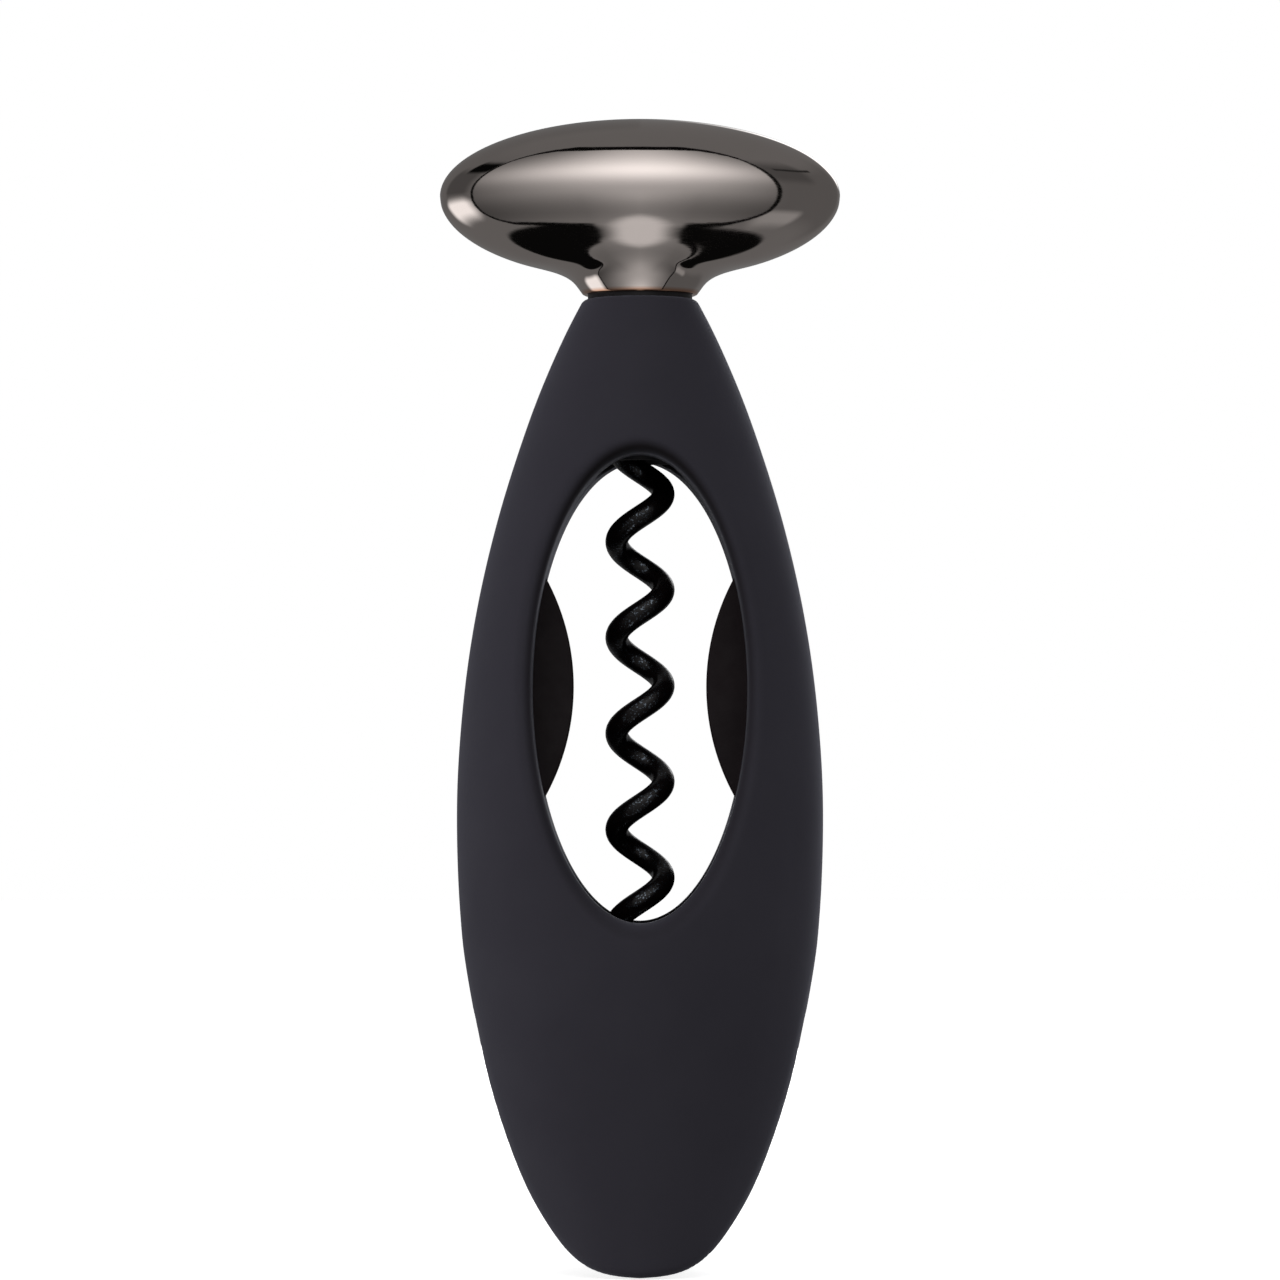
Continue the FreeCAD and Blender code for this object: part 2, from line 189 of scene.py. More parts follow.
def body_distance(x, y, z):
    """Distance outside the whole body, both shells as one."""
    rho = np.sqrt(x * x + y * y)
    half_w = np.interp(z, Z_TABLE, HALF_W)
    half_d = np.interp(z, Z_TABLE, HALF_D)
    f = oval_distance(x, y, half_w, half_d) * np.interp(z, Z_TABLE, LEAN)
    f = round_max(f, tongue_distance(x, z), TONGUE_ROUND)
    f = round_max(f, z - BODY_TOP, TOP_ROUND)
    f = round_max(f, -window_distance(x, z), WINDOW_ROUND)
    socket_r = SOCKET_R + MOUTH_FLARE * np.clip((MOUTH_H - z) / MOUTH_H, 0, 2)
    f = round_max(f, -np.maximum(rho - socket_r, z - SOCKET_TOP), BORE_ROUND)
    f = round_max(f, -np.maximum(rho - CORK_R, z - CORK_TOP), BORE_ROUND)
    f = np.maximum(f, -np.maximum(rho - BUSH_HOLE_R, BUSH_HOLE_LOW - z))
    taper = (np.abs(y) - SLOT_HALF - SLOT_GROWTH * (SLOT_ROUND_Z - z)) * SLOT_LEAN
    cap = np.sqrt(y * y + (z - SLOT_ROUND_Z) ** 2) - SLOT_HALF
    return round_max(f, -np.where(z > SLOT_ROUND_Z, cap, taper), SLOT_EDGE_ROUND)


def gradient(field, p):
    """Slope of the field at the points p."""
    e = 0.03
    x, y, z = p.T
    gx = field(x + e, y, z) - field(x - e, y, z)
    gy = field(x, y + e, z) - field(x, y - e, z)
    gz = field(x, y, z + e) - field(x, y, z - e)
    return np.stack([gx, gy, gz], 1) / (2 * e)


def settle(field, p, limit):
    """Moves points onto the surface of the field, at most limit in each of four rounds."""
    for _ in range(4):
        g = gradient(field, p)
        step = field(*p.T)[:, None] * g / np.maximum((g * g).sum(1), 0.2)[:, None]
        size = np.linalg.norm(step, axis=1, keepdims=True)
        p = p - step * np.minimum(1, limit / np.maximum(size, 1e-9))
    return p


def surface_net(field, low, high, step):
    """Quad mesh of the field's surface."""
    axes = [np.arange(l, h + step, step) for l, h in zip(low, high)]
    values = field(*np.meshgrid(*axes, indexing="ij"))
    inside = values < 0
    size = np.array(inside.shape)
    count = np.zeros(size - 1, np.int8)
    corners = [(i, j, k) for i in (0, 1) for j in (0, 1) for k in (0, 1)]
    for i, j, k in corners:
        count += inside[i:size[0] - 1 + i, j:size[1] - 1 + j, k:size[2] - 1 + k]
    cells = np.argwhere((count > 0) & (count < 8))
    total = np.zeros((len(cells), 3))
    hits = np.zeros(len(cells))
    for a in corners:
        for d in range(3):
            if a[d]:
                continue
            b = list(a)
            b[d] = 1
            fa = values[tuple((cells + a).T)]
            fb = values[tuple((cells + b).T)]
            cross = (fa < 0) != (fb < 0)
            t = fa[cross] / (fa[cross] - fb[cross])
            point = (cells[cross] + a).astype(float)
            point[:, d] += t
            total[cross] += point
            hits[cross] += 1
    points = total / hits[:, None] * step + np.array([a[0] for a in axes])
    ids = np.full(size - 1, -1)
    ids[tuple(cells.T)] = np.arange(len(cells))
    faces = []
    for d in range(3):
        u, v = (d + 1) % 3, (d + 2) % 3
        head = [slice(None)] * 3
        tail = [slice(None)] * 3
        head[d] = slice(0, -1)
        tail[d] = slice(1, None)
        first = inside[tuple(head)]
        change = np.argwhere(first != inside[tuple(tail)])
        ok = (change[:, u] > 0) & (change[:, v] > 0)
        ok &= (change[:, u] < size[u] - 1) & (change[:, v] < size[v] - 1)
        change = change[ok]
        eu = np.eye(3, dtype=int)[u]
        ev = np.eye(3, dtype=int)[v]
        ring = [change, change - eu, change - eu - ev, change - ev]
        quad = np.stack([ids[tuple(c.T)] for c in ring], 1)
        flip = ~first[tuple(change.T)]
        quad[flip] = quad[flip][:, ::-1]
        faces.append(quad)
    return points, np.concatenate(faces)


# ---- pieces -------------------------------------------------------------------------------

def make_object(name, points, faces, body, replaced):
    """A smooth piece from points in millimetres."""
    mesh = bpy.data.meshes.new(name)
    verts = np.asarray(points, float) * MM
    mesh.from_pydata([tuple(v) for v in verts], [], [tuple(f) for f in faces])
    mesh.polygons.foreach_set("use_smooth", [True] * len(mesh.polygons))
    mesh.update()
    return settle_piece(bpy.data.objects.new(name, mesh), body, replaced)


def settle_piece(piece, body, replaced):
    """Puts a piece in the scene, on its body, in place of CAD nodes."""
    bpy.context.scene.collection.objects.link(piece)
    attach(piece, body)
    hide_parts(*replaced)
    return piece


def painted_shade_amount(p):
    """Painted shade, 1 on the inside of the body and on the window's walls (most where they face down, none
    where they face up), 0 on the outside.
    """
    x, y, z = p.T.astype(float)
    normal = gradient(body_distance, p.astype(float))
    reach = 0.05
    wx = (window_distance(x + reach, z) - window_distance(x - reach, z)) / (2 * reach)
    wz = (window_distance(x, z + reach) - window_distance(x, z - reach)) / (2 * reach)
    facing = -(normal[:, 0] * wx + normal[:, 2] * wz)
    near = np.clip((SHADE_WINDOW_REACH - window_distance(x, z)) / SHADE_FADE, 0, 1)
    # painted shade on the window's walls: darker where they face down, none where they face up
    rim = np.clip((facing - 0.05) / 0.5, 0, 1) * near * np.clip(0.62 - 0.8 * normal[:, 2], 0, 1)
    half_w = np.interp(z, Z_TABLE, HALF_W)
    half_d = np.interp(z, Z_TABLE, HALF_D)
    inside = np.clip((-oval_distance(x, y, half_w, half_d) - SHADE_DEPTH) / SHADE_FADE, 0, 1)
    low_edge = np.clip((-tongue_distance(x, z) - SHADE_DEPTH) / SHADE_FADE, 0, 1)
    return np.maximum(rim, inside * low_edge)


def body_half(name, points, faces, side, replaced):
    """One shell: the body on one side of the parting plane, with a fine chamfer along the seam."""
    mesh = bpy.data.meshes.new(name)
    mesh.from_pydata(points.tolist(), [], faces.tolist())
    bm = bmesh.new()
    bm.from_mesh(mesh)
    for y, clear in ((SEAM_HALF_W * side, False), (0.0, True)):
        cut = bmesh.ops.bisect_plane(
            bm,
            geom=bm.verts[:] + bm.edges[:] + bm.faces[:],
            dist=1e-4,
            plane_co=(0, y, 0),
            plane_no=(0, -side, 0),
            clear_outer=clear,
        )
    rim = [e for e in cut["geom_cut"] if isinstance(e, bmesh.types.BMEdge)]
    lip = [v for v in cut["geom_cut"] if isinstance(v, bmesh.types.BMVert)]
    inward = gradient(body_distance, np.array([v.co for v in lip]))
    for v, n in zip(lip, inward):
        v.co -= Vector((n[0], 0, n[2])).normalized() * SEAM_DEPTH
        v.co.y = 0.0
    bmesh.ops.triangle_fill(bm, use_beauty=False, use_dissolve=False, edges=rim)
    bmesh.ops.recalc_face_normals(bm, faces=bm.faces[:])
    for f in bm.faces:
        f.smooth = abs(f.calc_center_median().y) > 0.001
    bmesh.ops.scale(bm, vec=(MM, MM, MM), verts=bm.verts[:])
    bm.to_mesh(mesh)
    bm.free()
    place = np.zeros(len(mesh.vertices) * 3, np.float32)
    mesh.vertices.foreach_get("co", place)
    # stores the painted shade of the body's inside and the window's walls for the coat's material
    painted_shade = mesh.attributes.new("painted_shade", "FLOAT", "POINT")
    painted_shade.data.foreach_set("value", painted_shade_amount(place.reshape(-1, 3) / MM).astype(np.float32))
    return settle_piece(bpy.data.objects.new(name, mesh), "body", [replaced])


def body_shells():
    """Both shells, cut from one mesh of the body."""
    step = 0.45
    low = (-27.3, -20.9, -1.1)
    high = (27.3, 20.9, 140.5)
    points, faces = surface_net(body_distance, low, high, step)
    points = settle(body_distance, points, 0.4 * step)
    points[:, 2] = np.clip(points[:, 2], 0, BODY_TOP)
    front = body_half("front_shell_skin", points, faces, -1, "front_shell")
    back = body_half("back_shell_skin", points, faces, 1, "back_shell")
    return front, back


def ring_stack(rings, sides):
    """Mesh of closed rings stacked one on the next, closed at both ends by a point."""
    turn = np.linspace(0, 2 * math.pi, sides, endpoint=False)
    points = [(0, 0, rings[0][2])]
    for w, d, z in rings:
        points += [(w * math.cos(t), d * math.sin(t), z) for t in turn]
    points.append((0, 0, rings[-1][2]))
    faces = [(0, 1 + (j + 1) % sides, 1 + j) for j in range(sides)]
    for i in range(len(rings) - 1):
        a = 1 + i * sides
        b = a + sides
        for j in range(sides):
            k = (j + 1) % sides
            faces.append((a + j, a + k, b + k, b + j))
    last = len(points) - 1
    a = last - sides
    faces += [(a + j, a + (j + 1) % sides, last) for j in range(sides)]
    return points, faces


def handle_depth(z):
    """Half depth below the widest level: an even sweep in to the waist, then a slight flare."""
    if z < WAIST_Z:
        flare = (WAIST_Z - z) / (WAIST_Z - HANDLE_LOW)
        return WAIST_HALF_D + (NECK_R - WAIST_HALF_D) * flare * flare
    sweep = math.pi * (HANDLE_EQUATOR - z) / (HANDLE_EQUATOR - WAIST_Z)
    return WAIST_HALF_D + (HANDLE_HALF_D - WAIST_HALF_D) * (1 + math.cos(sweep)) / 2


def handle_rings(count):
    """Rings (half width, half depth, height): up the hub's bore, over the neck and round the grip."""
    rows = [(w, z) for z, w in NECK_SECTIONS]
    for z in GRIP_LEVELS:
        across = math.sqrt(1 - ((HANDLE_EQUATOR - z) / HANDLE_DROP) ** 2)
        rows.append((HANDLE_HALF_W * across, z))
    outline = curve_through(rows, count)
    bore = [(0.6, HUB_TOP), (HUB_R - HUB_EDGE, HUB_TOP), (HUB_R, HUB_TOP - HUB_EDGE)]
    bore += [(HUB_R, z) for z in HUB_BORE_LEVELS + (HANDLE_LOW + 0.16,)]
    bore += [(HUB_R + 0.05, HANDLE_LOW + 0.04), (HUB_R + 0.16, HANDLE_LOW)]
    bore += [(7.2, HANDLE_LOW), (7.8, HANDLE_LOW), (8.0, HANDLE_LOW + 0.05)]
    rings = [(r, r, z) for r, z in bore]
    for w, z in outline:
        if z > HANDLE_LOW + NECK_EDGE:
            rings.append((min(w, HANDLE_HALF_W), handle_depth(z), z))
    for t in np.linspace(0, math.pi / 2, count + 1)[1:-1]:
        z = HANDLE_EQUATOR + HANDLE_RISE * math.sin(t)
        rings.append((HANDLE_HALF_W * math.cos(t), HANDLE_HALF_D * math.cos(t), z))
    rings.append((0.08, 0.033, HANDLE_EQUATOR + HANDLE_RISE))
    return rings


def handle():
    rings = handle_rings(130)
    points, faces = ring_stack(rings, 320)
    return make_object("handle_skin", points, faces, "handle", ["handle_casting"])


def worm_line(z):
    """Middle of the wire at height z: a helix that runs in to the axis at the shank."""
    angle = 2 * math.pi * (z - PHASE_Z) / PITCH
    t = min(max((z - HELIX_TOP) / (SHANK_LOW - HELIX_TOP), 0), 1)
    radius = HELIX_R * (1 - t * t * (3 - 2 * t))
    return np.array([radius * math.cos(angle), radius * math.sin(angle), z])


def worm():
    """The wire as a tube along its line, with a tapered tip and a chamfered shank."""
    sides = 30
    levels = list(np.linspace(TIP_Z, SHANK_LOW, 1300))
    levels += [SHANK_TOP - SHANK_EDGE, SHANK_TOP]
    side = np.array([1.0, 0, 0])
    points = []
    faces = []
    for n, z in enumerate(levels):
        here = worm_line(z)
        ahead = worm_line(z + 0.02) - worm_line(z - 0.02)
        ahead /= np.linalg.norm(ahead)
        side = side - ahead * side.dot(ahead)
        side /= np.linalg.norm(side)
        up = np.cross(ahead, side)
        grow = min(max((z - TIP_Z) / (TAPER_TOP - TIP_Z), 0), 1)
        radius = TIP_R + (WIRE_R - TIP_R) * grow
        if z == SHANK_TOP:
            radius -= SHANK_EDGE
        for j in range(sides):
            t = 2 * math.pi * j / sides
            points.append(here + radius * (math.cos(t) * side + math.sin(t) * up))
        if n:
            a = (n - 1) * sides
            for j in range(sides):
                k = (j + 1) % sides
                faces.append((a + j, a + k, a + sides + k, a + sides + j))
    faces.append(tuple(range(sides))[::-1])
    last = len(points) - sides
    faces.append(tuple(range(last, last + sides)))
    return make_object("worm_skin", points, faces, "handle", ["worm"])


def fin(name, side, replaced):
    """Flat fin with a round inner edge, broken edges and a T-shaped foot in the liner."""
    centre = FIN_GAP / 2 + FIN_ARC_R
    reach = math.asin(FIN_HALF_H / FIN_ARC_R)
    outline = []
    steps = 40
    for i in range(steps + 1):
        t = -reach + 2 * reach * i / steps
        outline.append((centre - FIN_ARC_R * math.cos(t), FIN_Z + FIN_ARC_R * math.sin(t)))
    foot = [(FIN_HEAD_IN, FIN_HALF_H), (FIN_HEAD_IN, FIN_HEAD_HALF_H), (FIN_HEAD_OUT, FIN_HEAD_HALF_H)]
    outline += [(x, FIN_Z + h) for x, h in foot]
    outline += [(x, FIN_Z - h) for x, h in reversed(foot)]
    bm = bmesh.new()
    near = [bm.verts.new((side * x * MM, -FIN_T / 2 * MM, z * MM)) for x, z in outline]
    face = bm.faces.new(near)
    moved = bmesh.ops.extrude_face_region(bm, geom=[face])["geom"]
    far = [v for v in moved if isinstance(v, bmesh.types.BMVert)]
    bmesh.ops.translate(bm, vec=(0, FIN_T * MM, 0), verts=far)
    bmesh.ops.recalc_face_normals(bm, faces=bm.faces[:])
    edges = [e for e in bm.edges if e.calc_face_angle(0) > 0.6]
    bmesh.ops.bevel(bm, geom=edges, offset=FIN_EDGE * MM, segments=3, profile=0.5, affect="EDGES")
    mesh = bpy.data.meshes.new(name)
    for f in bm.faces:
        f.smooth = True
    bm.to_mesh(mesh)
    bm.free()
    piece = settle_piece(bpy.data.objects.new(name, mesh), "body", [replaced])
    piece.modifiers.new("even_normals", "WEIGHTED_NORMAL").keep_sharp = True
    return piece


# ---- materials ----------------------------------------------------------------------------

COAT_DARK, COAT_LIGHT = (0.0272, 0.0253, 0.0332, 1), (0.0315, 0.0295, 0.0382, 1)
# the first colour on the next line is the dark colour of the painted shade inside the body and on the
# window's walls
PAINTED_SHADE_COLOUR, SHEEN = (0.0042, 0.0025, 0.0028, 1), (0.82, 0.84, 1, 1)
METAL_DARK, METAL_LIGHT = (0.545, 0.488, 0.46, 1), (0.575, 0.515, 0.487, 1)
# the next line gives a painted warm reflection along the neck's lower edge: its colour and the heights it
# spans
METAL_EDGE_REFLECTION, METAL_EDGE_LOW, METAL_EDGE_TOP = (0.42, 0.24, 0.16, 1), 0.13985, 0.14035
WORM_COAT, WORM_FLECK = (0.0042, 0.0024, 0.0026, 1), (0.15, 0.175, 0.205, 1)
FIN_DARK, FIN_LIGHT = (0.0085, 0.0045, 0.0058, 1), (0.0115, 0.0066, 0.008, 1)
BUSH_DARK, BUSH_LIGHT = (0.012, 0.011, 0.013, 1), (0.018, 0.017, 0.02, 1)
WASHER_DARK, WASHER_LIGHT = (0.006, 0.005, 0.006, 1), (0.01, 0.009, 0.01, 1)
STEEL = (0.42, 0.41, 0.4, 1)


class Shader:
    """A material's node tree with short ways to add the nodes used here."""

    def __init__(self, name):
        self.material = bpy.data.materials.new(name)
        self.material.use_nodes = True
        self.tree = self.material.node_tree
        self.surface = self.tree.nodes["Principled BSDF"]
        self.coord = self.tree.nodes.new("ShaderNodeTexCoord").outputs["Object"]

    def add(self, kind, **inputs):
        node = self.tree.nodes.new(kind)
        for key, value in inputs.items():
            self.put(node.inputs[key.replace("_", " ")], value)
        return node

    def put(self, socket, value):
        if isinstance(value, bpy.types.NodeSocket):
            self.tree.links.new(value, socket)
        else:
            socket.default_value = value

    def noise(self, scale, detail, stretch=(1, 1, 1)):
        where = self.add("ShaderNodeMapping", Vector=self.coord, Scale=stretch)
        node = self.add("ShaderNodeTexNoise", Scale=scale, Detail=detail, Roughness=0.5)
        self.put(node.inputs["Vector"], where.outputs[0])
        return node.outputs[0]

    def spread(self, value, low, high, start=0.3, end=0.7):
        """Runs from low to high as value goes from start to end."""
        node = self.add("ShaderNodeMapRange")
        for socket, v in zip(node.inputs[:5], (value, start, end, low, high)):
            self.put(socket, v)
        return node.outputs[0]

    def blend(self, factor, a, b):
        node = self.tree.nodes.new("ShaderNodeMix")
        node.data_type = "RGBA"
        self.put(node.inputs[0], factor)
        self.put(node.inputs[6], a)
        self.put(node.inputs[7], b)
        return node.outputs[2]

    def bump(self, height, depth, strength, under=None):
        node = self.add("ShaderNodeBump", Height=height, Distance=depth, Strength=strength)
        if under is not None:
            self.put(node.inputs["Normal"], under)
        return node.outputs[0]

    def set(self, **inputs):
        for key, value in inputs.items():
            self.put(self.surface.inputs[key.replace("_", " ")], value)
        return self


def soft_touch():
    """Matt rubbery coat, with painted shade in a darker colour inside the body and on the window's walls.
    """
    s = Shader("soft_touch_charcoal")
    cloud = s.noise(45, 3)
    grain = s.noise(2600, 2)
    coat = s.blend(s.spread(cloud, 0, 1), COAT_DARK, COAT_LIGHT)
    painted_shade = s.tree.nodes.new("ShaderNodeAttribute")
    painted_shade.attribute_name = "painted_shade"
    # painted shade: the coat turns to a dark colour inside the body and on the window's walls
    s.set(Base_Color=s.blend(painted_shade.outputs["Fac"], coat, PAINTED_SHADE_COLOUR))
    s.set(Roughness=s.spread(s.noise(160, 4), 0.7, 0.8), Specular_IOR_Level=0.16)
    s.set(Normal=s.bump(grain, 0.00002, 0.5))
    s.set(Sheen_Weight=0.16, Sheen_Roughness=0.45, Sheen_Tint=SHEEN)
    return s.material


def gunmetal():
    """Polished plating with fine brushing, and a painted warm reflection, a copper tint, at the neck's
    lower edge.
    """
    s = Shader("gunmetal_polished")
    brush = s.noise(1.0, 4, (260, 5200, 5200))
    cloud = s.noise(70, 3)
    colour = s.blend(s.spread(cloud, 0, 1), METAL_DARK, METAL_LIGHT)
    split = s.tree.nodes.new("ShaderNodeSeparateXYZ")
    s.put(split.inputs[0], s.coord)
    # painted reflection: a warm copper tone between these two heights at the neck's lower edge
    edge = s.spread(split.outputs[2], 1, 0, METAL_EDGE_LOW, METAL_EDGE_TOP)
    colour = s.blend(edge, colour, METAL_EDGE_REFLECTION)
    s.set(Base_Color=colour, Metallic=1.0, Roughness=s.spread(brush, 0.03, 0.07))
    s.set(Normal=s.bump(brush, 0.0000018, 0.6))
    return s.material


def coated_steel():
    """Black non-stick coat, pebbled, with bright flecks."""
    s = Shader("coated_worm_black")
    pebble = s.noise(1100, 2)
    flake = s.noise(3300, 2)
    glint = s.spread(flake, 0, 1, 0.56, 0.66)
    s.set(Base_Color=s.blend(glint, WORM_COAT, WORM_FLECK))
    s.set(Metallic=s.spread(flake, 0, 1, 0.53, 0.57), IOR=1.33)
    s.set(Roughness=s.spread(pebble, 0.2, 0.34))
    s.set(Normal=s.bump(pebble, 0.00004, 0.5, s.bump(flake, 0.000012, 0.6)))
    return s.material


def moulded(name, dark, light, roughness):
    """Plain moulded plastic with a fine grain."""
    s = Shader(name)
    cloud = s.noise(120, 4)
    grain = s.noise(1800, 3)
    s.set(Base_Color=s.blend(s.spread(cloud, 0, 1), dark, light))
    s.set(Roughness=s.spread(s.noise(420, 3), roughness - 0.07, roughness + 0.07))
    s.set(Specular_IOR_Level=0.25)
    s.set(Normal=s.bump(grain, 0.00003, 0.6))
    return s.material


def turned_steel(name, colour, roughness):
    """Bare steel with turning lines."""
    s = Shader(name)
    lines = s.noise(1.0, 4, (300, 300, 6000))
    cloud = s.noise(150, 3)
    bright = tuple(min(1, c * 1.12) for c in colour[:3]) + (1,)
    s.set(Base_Color=s.blend(s.spread(cloud, 0, 1), colour, bright), Metallic=1.0)
    s.set(Roughness=s.spread(lines, roughness - 0.06, roughness + 0.08))
    s.set(Normal=s.bump(lines, 0.000004, 0.6))
    return s.material


def dress(piece, material):
    piece.data.materials.clear()
    piece.data.materials.append(material)


def dress_cad(name, material, bevel):
    """A CAD piece shown as it is, with its edges broken."""
    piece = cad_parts[name]
    dress(piece, material)
    cut = piece.modifiers.new("edges", "BEVEL")
    cut.width = bevel * MM
    cut.segments = 2
    cut.limit_method = "ANGLE"
    cut.angle_limit = math.radians(40)
    cut.harden_normals = True
    return piece


# ---- studio -------------------------------------------------------------------------------

METAL_MIRROR = 0.5
RAMP_STOPS = 31
DEGREES = math.degrees(1)
# (height in degrees, grey level) up the middle of the front panel
PANEL_STOPS = [
    (-60, 132), (-48, 108), (-40, 92), (-32, 93), (-24, 102), (-16, 114), (-8, 127), (0, 140),
    (8, 151), (16, 172), (24, 204), (36, 234), (43, 222), (52, 198), (64, 172), (80, 150),
]
PANEL_CENTRE, PANEL_HALF, PANEL_CORNER = (-10.5, 12.5), (54.5, 59.8), 17
# grey level, centre, half size, corner and softness of the side and back cards, in degrees
CARDS = [
    (83, (-125, 25), (58, 38), 12, 8),
    (62, (-92, 22), (22, 22), 8, 6),
    (5, (-81, 48), (16, 7), 5, 3),
    (76, (90, 0), (48, 45), 16, 10),
    (62, (60, 38), (18, 14), 8, 8),
    (30, (72, 43.5), (20, 1.4), 1, 1.2),
    (255, (163, 20), (13, 8), 7, 4),
    (120, (56, -41), (15, 8), 6, 5),
    (226, (-92, -22), (23, 15), 10, 8),
]


def grey(level):
    """Studio brightness that the polished handle shows as this 8-bit grey."""
    v = level / 255
    linear = v / 12.92 if v < 0.04045 else ((v + 0.055) / 1.055) ** 2.4
    return linear / METAL_MIRROR


class Sky:
    """The studio as seen from the object: cards laid out by bearing and height in degrees."""

    def __init__(self, world):
        self.tree = world.node_tree
        self.tree.nodes.clear()
        way = self.tree.nodes.new("ShaderNodeTexCoord").outputs["Generated"]
        split = self.tree.nodes.new("ShaderNodeSeparateXYZ")
        self.tree.links.new(way, split.inputs[0])
        x, y, z = split.outputs
        self.az = self.op("MULTIPLY", self.op("ARCTAN2", x, self.op("MULTIPLY", y, -1.0)), DEGREES)
        self.el = self.op("MULTIPLY", self.op("ARCSINE", z), DEGREES)
        self.value = grey(88)

    def op(self, kind, *values):
        node = self.tree.nodes.new("ShaderNodeMath")
        node.operation = kind
        for socket, value in zip(node.inputs, values):
            self.put(socket, value)
        return node.outputs[0]

    def put(self, socket, value):
        if isinstance(value, bpy.types.NodeSocket):
            self.tree.links.new(value, socket)
        else:
            socket.default_value = value

    def step(self, value, start, end):
        """0 before start, 1 after end, smooth between."""
        node = self.tree.nodes.new("ShaderNodeMapRange")
        node.interpolation_type = "SMOOTHSTEP"
        for socket, v in zip(node.inputs[:5], (value, start, end, 0.0, 1.0)):
            self.put(socket, v)
        return node.outputs[0]

    def reach(self, centre, half, corner):
        """Distance in degrees outside a card with round corners."""
        dx = self.op("SUBTRACT", self.az, float(centre[0]))
        dy = self.op("SUBTRACT", self.el, float(centre[1]))
        far = []
        for d, h in ((dx, half[0]), (dy, half[1])):
            inner = self.op("SUBTRACT", self.op("ABSOLUTE", d), float(h - corner))
            far.append(self.op("POWER", self.op("MAXIMUM", inner, 0.0), 2.0))
        return self.op("SUBTRACT", self.op("SQRT", self.op("ADD", *far)), float(corner))

    def over(self, value, mask):
        """Lays value over what is there, where mask is 1."""
        node = self.tree.nodes.new("ShaderNodeMix")
        self.put(node.inputs[0], mask)
        self.put(node.inputs[2], self.value)
        self.put(node.inputs[3], value)
        self.value = node.outputs[0]

    def card(self, level, centre, half, corner, soft):
        outside = self.reach(centre, half, corner)
        self.over(grey(level), self.step(outside, soft, -soft))

    def ramp(self, value, stops):
        """Brightness along value, through stops of (place, level)."""
        low, high = stops[0][0], stops[-1][0]
        node = self.tree.nodes.new("ShaderNodeMapRange")
        for socket, v in zip(node.inputs[:3], (value, low, high)):
            self.put(socket, v)
        ramp = self.tree.nodes.new("ShaderNodeValToRGB")
        self.tree.links.new(node.outputs[0], ramp.inputs[0])
        places = np.linspace(low, high, RAMP_STOPS)
        levels = spline_through(*zip(*stops), places)
        while len(ramp.color_ramp.elements) < len(places):
            ramp.color_ramp.elements.new(0.5)
        for element, place, level in zip(ramp.color_ramp.elements, places, levels):
            element.position = (place - low) / (high - low)
            element.color = (grey(float(level)),) * 3 + (1,)
        return ramp.outputs[0]

    def front_panel(self):
        """The big soft box in front, brightest a little above the middle, with a black edge."""
        tall = self.ramp(self.el, PANEL_STOPS)
        off = self.op("SUBTRACT", self.az, 2.0)
        right = self.op("MULTIPLY", self.op("MAXIMUM", off, 0.0), 1.25)
        left = self.op("MAXIMUM", self.op("MULTIPLY", off, -1.0), 0.0)
        low = self.op("MULTIPLY", self.op("MAXIMUM", self.op("SUBTRACT", 34.0, self.el), 0.0), 0.3)
        away = self.op("DIVIDE", self.op("ADD", right, left), self.op("ADD", 41.0, low))
        squared = self.op("MULTIPLY", self.op("MULTIPLY", away, away), 1.3)
        fall = self.op("DIVIDE", 1.0, self.op("ADD", squared, 1.0))
        outside = self.reach(PANEL_CENTRE, PANEL_HALF, PANEL_CORNER)
        aside = self.op("DIVIDE", self.op("ABSOLUTE", self.az), 15.0)
        near = self.op("MAXIMUM", self.op("SUBTRACT", 1.0, aside), 0.0)
        crest = self.op("MULTIPLY", near, self.step(self.el, 10, -20))
        ridge = self.op("ADD", self.op("MULTIPLY", crest, 0.5), 1.0)
        light = self.op("MULTIPLY", self.op("MULTIPLY", tall, fall), ridge)
        self.over(light, self.step(outside, 0.8, -0.8))
        wide = self.op("ADD", self.op("MULTIPLY", self.step(self.el, 55, 72), 2.0), 1.3)
        line = self.step(self.op("SUBTRACT", self.op("ABSOLUTE", outside), wide), 0.5, -0.5)
        beside = self.step(self.op("ABSOLUTE", self.az), 13, 16)
        open_foot = self.op("MAXIMUM", self.step(self.el, -16, -12), beside)
        self.over(grey(6), self.op("MULTIPLY", line, open_foot))

    def foot_light(self):
        """Light that closes the open middle of the panel's lower edge and narrows upward."""
        reach = self.op("MULTIPLY", self.op("SUBTRACT", -37.0, self.el), 0.9)
        spare = self.op("SUBTRACT", self.op("MINIMUM", reach, 8.5), self.op("ABSOLUTE", self.az))
        self.over(grey(172), self.op("MULTIPLY", self.step(spare, -4, 4), self.step(self.el, -36, -45)))

    def flag(self, side, top, near, far):
        """Black flag beside the open foot; its upper edge drops away evenly."""
        away = self.op("MULTIPLY", self.az, float(side))
        past = self.op("MAXIMUM", self.op("SUBTRACT", away, 20.0), 0.0)
        over_edge = self.op("ADD", self.op("SUBTRACT", self.el, float(top)), self.op("MULTIPLY", past, 0.2))
        ends = self.op("MULTIPLY", self.step(away, 11, 15), self.step(away, far, near))
        self.over(grey(7), self.op("MULTIPLY", self.step(over_edge, 1.0, -1.0), ends))

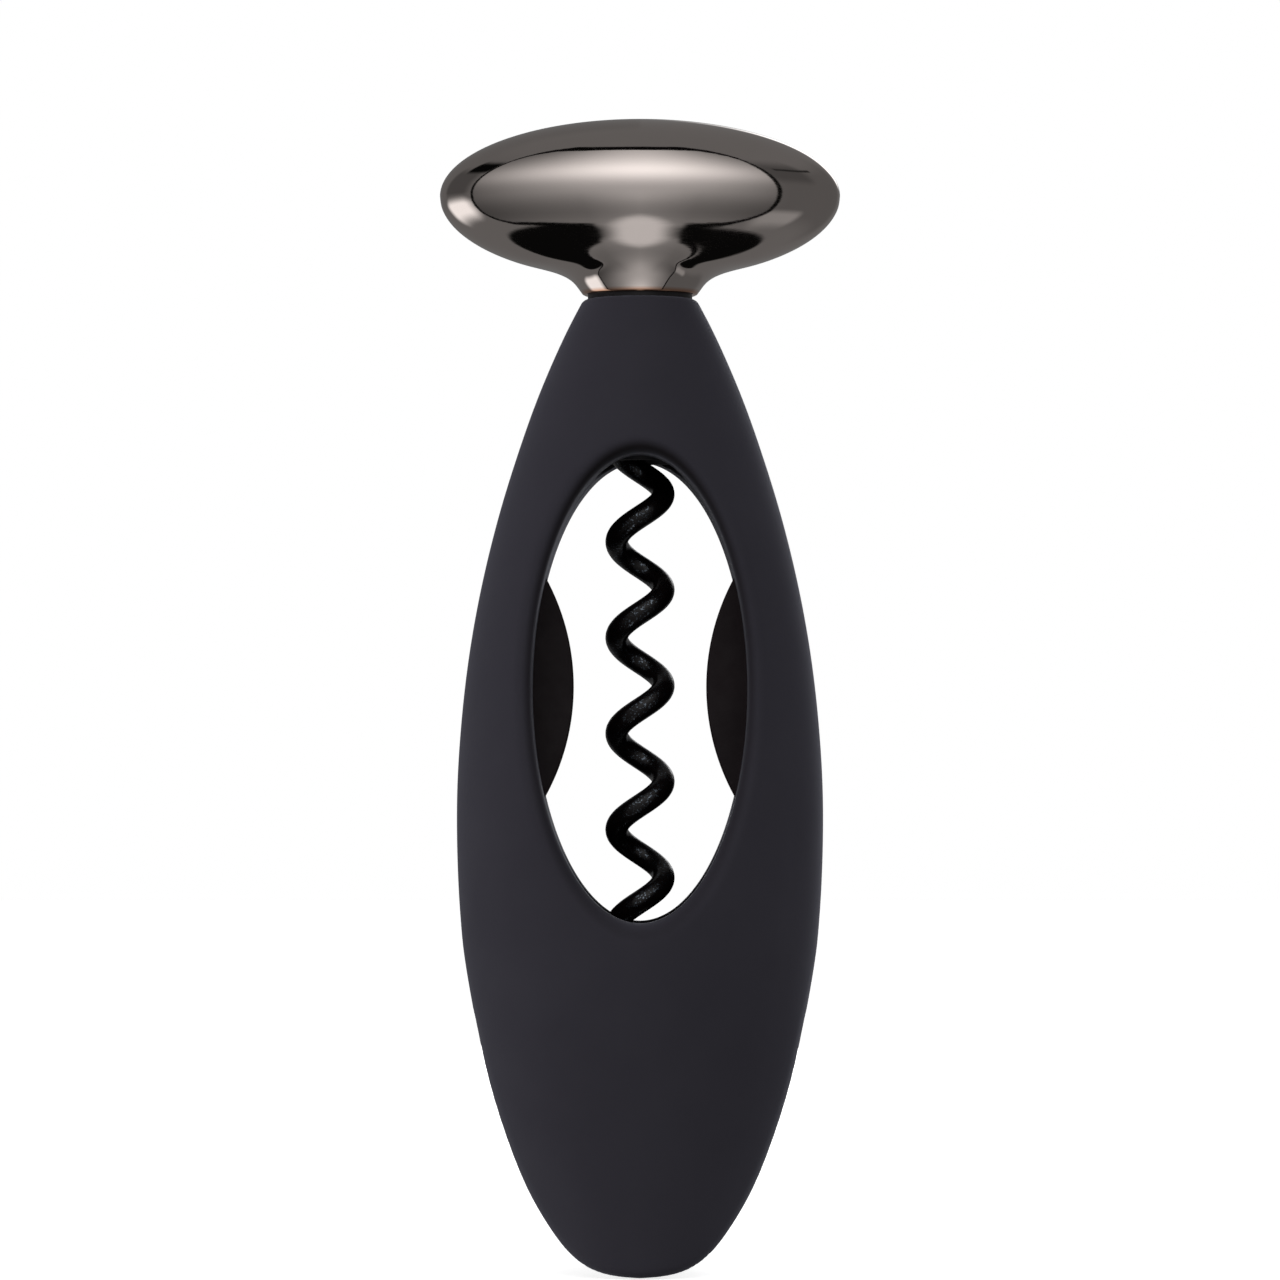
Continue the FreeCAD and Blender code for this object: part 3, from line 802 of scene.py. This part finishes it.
    def finish(self):
        """The cards light and mirror in the object; straight behind it the studio is white."""
        paint = self.tree.nodes.new("ShaderNodeBackground")
        self.put(paint.inputs[0], self.value)
        white = self.tree.nodes.new("ShaderNodeBackground")
        white.inputs[0].default_value = (1, 1, 1, 1)
        seen = self.tree.nodes.new("ShaderNodeLightPath").outputs["Is Camera Ray"]
        mix = self.tree.nodes.new("ShaderNodeMixShader")
        out = self.tree.nodes.new("ShaderNodeOutputWorld")
        for socket, value in zip(mix.inputs, (seen, paint.outputs[0], white.outputs[0])):
            self.put(socket, value)
        self.put(out.inputs[0], mix.outputs[0])


def studio():
    """Lays the cards in order: a later one covers an earlier one."""
    world = bpy.data.worlds.new("studio")
    bpy.context.scene.world = world
    world.use_nodes = True
    sky = Sky(world)
    for card in CARDS:
        sky.card(*card)
    sky.flag(-1, -45, 106, 128)
    sky.flag(1, -47.5, 88, 110)
    sky.front_panel()
    sky.foot_light()
    sky.finish()


def lamp(name, place, aim, size, power, colour):
    """Soft light that leaves no reflection of its own."""
    data = bpy.data.lights.new(name, "AREA")
    data.shape = "RECTANGLE"
    data.size, data.size_y = size
    data.energy = power
    data.color = colour
    light = bpy.data.objects.new(name, data)
    light.location = place
    light.rotation_euler = (Vector(aim) - Vector(place)).to_track_quat("-Z", "Y").to_euler()
    light.visible_glossy = False
    bpy.context.scene.collection.objects.link(light)


def floor():
    mesh = bpy.data.meshes.new("floor")
    bm = bmesh.new()
    bmesh.ops.create_grid(bm, x_segments=1, y_segments=1, size=FLOOR_HALF)
    bm.to_mesh(mesh)
    bm.free()
    piece = bpy.data.objects.new("floor", mesh)
    piece.location.z = -FLOOR_DROP
    bpy.context.scene.collection.objects.link(piece)
    s = Shader("floor_white")
    s.set(Base_Color=(0.9, 0.9, 0.9, 1), Roughness=0.9, Specular_IOR_Level=0.0)
    s.set(Emission_Color=(1, 1, 1, 1), Emission_Strength=0.75)
    dress(piece, s.material)
    piece.visible_glossy = False
    piece.visible_diffuse = False


def camera():
    data = bpy.data.cameras.new("camera")
    data.sensor_width = 36
    data.angle = math.radians(VIEW_ANGLE)
    view = bpy.data.objects.new("camera", data)
    view.location = VIEW_PLACE
    aim = Vector(VIEW_AIM) - view.location
    view.rotation_euler = aim.to_track_quat("-Z", "Y").to_euler()
    bpy.context.scene.collection.objects.link(view)
    bpy.context.scene.camera = view


# ---- build --------------------------------------------------------------------------------

shell_paint = soft_touch()
metal = gunmetal()
black_coat = coated_steel()
fin_plastic = moulded("fin_plastic", FIN_DARK, FIN_LIGHT, 0.6)
bush_plastic = moulded("bush_plastic", BUSH_DARK, BUSH_LIGHT, 0.45)
washer_plastic = moulded("washer_plastic", WASHER_DARK, WASHER_LIGHT, 0.4)
steel = turned_steel("turned_steel", STEEL, 0.3)

for shell in body_shells():
    dress(shell, shell_paint)
dress(handle(), metal)
dress(worm(), black_coat)
dress(fin("cork_grip_left_skin", -1, "cork_grip_left"), fin_plastic)
dress(fin("cork_grip_right_skin", 1, "cork_grip_right"), fin_plastic)
dress_cad("guide_bush", bush_plastic, 0.2)
dress_cad("thrust_washer", washer_plastic, 0.1)
dress_cad("shell_dowels", steel, 0.15)
dress_cad("worm_hub", steel, 0.2)
dress_cad("hub_screw", steel, 0.15)

studio()
lamp("left_card", (-0.7, -0.3, 0.1), (0, 0, 0.07), (0.5, 0.6), 4.6, (0.98, 0.98, 1))
lamp("right_card", (0.7, -0.2, 0.15), (0, 0, 0.09), (0.4, 0.5), 1.9, (0.97, 0.98, 1))
lamp("back_fill", (0.25, 0.85, 0.3), (0, 0, 0.08), (0.8, 0.8), 5.0, (0.98, 0.98, 1))
floor()
camera()
bpy.context.scene.view_settings.view_transform = "Standard"
